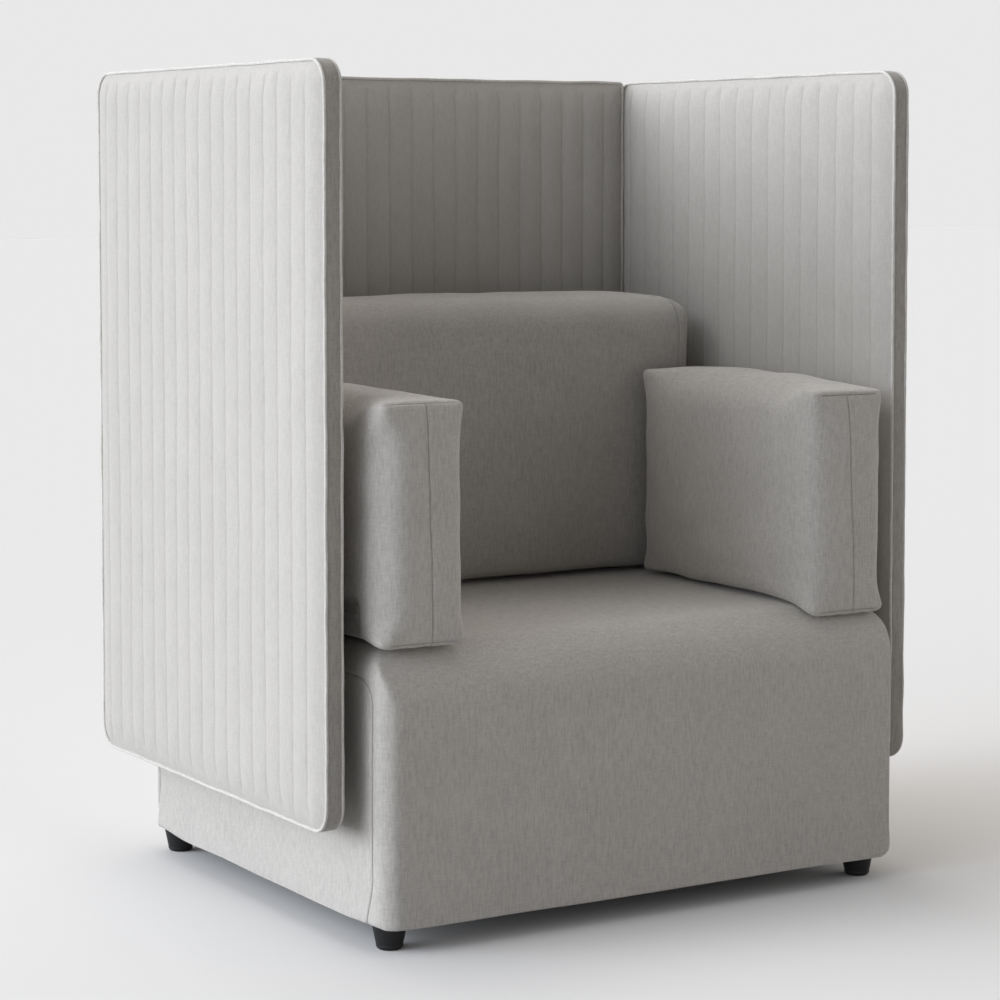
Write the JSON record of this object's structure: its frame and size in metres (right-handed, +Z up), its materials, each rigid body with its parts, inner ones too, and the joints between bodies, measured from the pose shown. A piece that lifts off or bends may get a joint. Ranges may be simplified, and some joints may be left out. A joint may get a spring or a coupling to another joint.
{
  "type": "acoustic high back lounge chair",
  "caption": "Upholstered lounge chair with tall channel-quilted acoustic screens round its sides and back, a box seat base, loose back and arm cushions and levelling feet.",
  "frame": {"origin": "on the floor, under the middle of the chair's overall box", "axes": "+Z up, -Y towards the open front, +X to the right of someone who faces the chair's front"},
  "size_m": [1.0398, 0.8339, 1.255],
  "materials": {
    "screen_fabric": "matte",
    "seat_fabric": "matte",
    "cushion_fabric": "matte",
    "border_fabric": "matte",
    "piping_fabric": "matte",
    "foam": "matte",
    "felt": "matte",
    "lining": "matte",
    "plywood": "matte",
    "dowel_wood": "matte",
    "spring_steel": "satin",
    "zinc_steel": "satin",
    "black_steel": "satin",
    "clip_plastic": "matte",
    "foot_plastic": "satin",
    "zip_tape": "matte",
    "zip_metal": "satin"
  },
  "bodies": {
    "base": {"base_side_cover_right": "seat_fabric", "base_side_cover_left": "seat_fabric", "base_back_cover": "seat_fabric", "seat_wrap_cover": "seat_fabric", "base_padding": "foam", "seat_foam": "foam", "seat_felt": "felt", "dust_cover": "lining", "base_corner_posts": "plywood", "base_side_board_right": "plywood", "base_side_board_left": "plywood", "base_front_rail": "plywood", "base_back_rail": "plywood", "base_centre_rail": "plywood", "base_frame_dowels": "dowel_wood", "seat_springs": "spring_steel", "spring_clips": "clip_plastic", "foot_inserts": "zinc_steel", "screen_corner_screws": "zinc_steel", "screen_bolts": "zinc_steel", "screen_spacers": "black_steel", "screen_tee_nuts": "zinc_steel", "left_screen_board": "plywood", "left_screen_foam": "foam", "left_screen_border": "border_fabric", "left_screen_outer_cover": "screen_fabric", "left_screen_inner_cover": "screen_fabric", "left_screen_piping": "piping_fabric", "right_screen_board": "plywood", "right_screen_foam": "foam", "right_screen_border": "border_fabric", "right_screen_outer_cover": "screen_fabric", "right_screen_inner_cover": "screen_fabric", "right_screen_piping": "piping_fabric", "back_screen_board": "plywood", "back_screen_foam": "foam", "back_screen_border": "border_fabric", "back_screen_outer_cover": "screen_fabric", "back_screen_inner_cover": "screen_fabric", "back_screen_piping": "piping_fabric"},
    "back_cushion": {"back_cushion_core": "foam", "back_cushion_cover": "cushion_fabric", "back_cushion_zip": "zip_tape"},
    "back_zip_slider": {"back_cushion_zip_slider": "zip_metal"},
    "left_arm_cushion": {"left_arm_cushion_core": "foam", "left_arm_cushion_cover": "cushion_fabric", "left_arm_cushion_zip": "zip_tape"},
    "left_arm_zip_slider": {"left_arm_cushion_zip_slider": "zip_metal"},
    "right_arm_cushion": {"right_arm_cushion_core": "foam", "right_arm_cushion_cover": "cushion_fabric", "right_arm_cushion_zip": "zip_tape"},
    "right_arm_zip_slider": {"right_arm_cushion_zip_slider": "zip_metal"},
    "foot_front_left": {"foot_pad_front_left": "foot_plastic"},
    "stud_front_left": {"foot_stud_front_left": "zinc_steel"},
    "foot_front_right": {"foot_pad_front_right": "foot_plastic"},
    "stud_front_right": {"foot_stud_front_right": "zinc_steel"},
    "foot_rear_left": {"foot_pad_rear_left": "foot_plastic"},
    "stud_rear_left": {"foot_stud_rear_left": "zinc_steel"},
    "foot_rear_right": {"foot_pad_rear_right": "foot_plastic"},
    "stud_rear_right": {"foot_stud_rear_right": "zinc_steel"}
  },
  "joints": [
    {"name": "back_cushion_lift", "type": "slide", "parent": "base", "child": "back_cushion", "axis": [0, 0, 1], "range_m": [0, 0.36]},
    {"name": "back_zip_travel", "type": "slide", "parent": "back_cushion", "child": "back_zip_slider", "axis": [1, 0, 0], "range_m": [0, 0.624]},
    {"name": "left_arm_cushion_lift", "type": "slide", "parent": "base", "child": "left_arm_cushion", "axis": [0, 0, 1], "range_m": [0, 0.36]},
    {"name": "left_arm_zip_travel", "type": "slide", "parent": "left_arm_cushion", "child": "left_arm_zip_slider", "axis": [0, -1, 0], "range_m": [0, 0.264]},
    {"name": "right_arm_cushion_lift", "type": "slide", "parent": "base", "child": "right_arm_cushion", "axis": [0, 0, 1], "range_m": [0, 0.36]},
    {"name": "right_arm_zip_travel", "type": "slide", "parent": "right_arm_cushion", "child": "right_arm_zip_slider", "axis": [0, -1, 0], "range_m": [0, 0.264]},
    {"name": "foot_height_front_left", "type": "slide", "parent": "base", "child": "foot_front_left", "axis": [0, 0, -1], "range_m": [0, 0.01]},
    {"name": "stud_turn_front_left", "type": "hinge", "parent": "foot_front_left", "child": "stud_front_left", "pos_m": [-0.418, -0.37, 0], "axis": [0, 0, -1], "range_deg": [0, 2880]},
    {"name": "foot_height_front_right", "type": "slide", "parent": "base", "child": "foot_front_right", "axis": [0, 0, -1], "range_m": [0, 0.01]},
    {"name": "stud_turn_front_right", "type": "hinge", "parent": "foot_front_right", "child": "stud_front_right", "pos_m": [0.418, -0.37, 0], "axis": [0, 0, -1], "range_deg": [0, 2880]},
    {"name": "foot_height_rear_left", "type": "slide", "parent": "base", "child": "foot_rear_left", "axis": [0, 0, -1], "range_m": [0, 0.01]},
    {"name": "stud_turn_rear_left", "type": "hinge", "parent": "foot_rear_left", "child": "stud_rear_left", "pos_m": [-0.418, 0.326, 0], "axis": [0, 0, -1], "range_deg": [0, 2880]},
    {"name": "foot_height_rear_right", "type": "slide", "parent": "base", "child": "foot_rear_right", "axis": [0, 0, -1], "range_m": [0, 0.01]},
    {"name": "stud_turn_rear_right", "type": "hinge", "parent": "foot_rear_right", "child": "stud_rear_right", "pos_m": [0.418, 0.326, 0], "axis": [0, 0, -1], "range_deg": [0, 2880]}
  ],
  "couplings": [
    {"joint": "stud_turn_front_left", "follows": "foot_height_front_left", "rad_per_m": 5026.5},
    {"joint": "stud_turn_front_right", "follows": "foot_height_front_right", "rad_per_m": 5026.5},
    {"joint": "stud_turn_rear_left", "follows": "foot_height_rear_left", "rad_per_m": 5026.5},
    {"joint": "stud_turn_rear_right", "follows": "foot_height_rear_right", "rad_per_m": 5026.5}
  ]
}
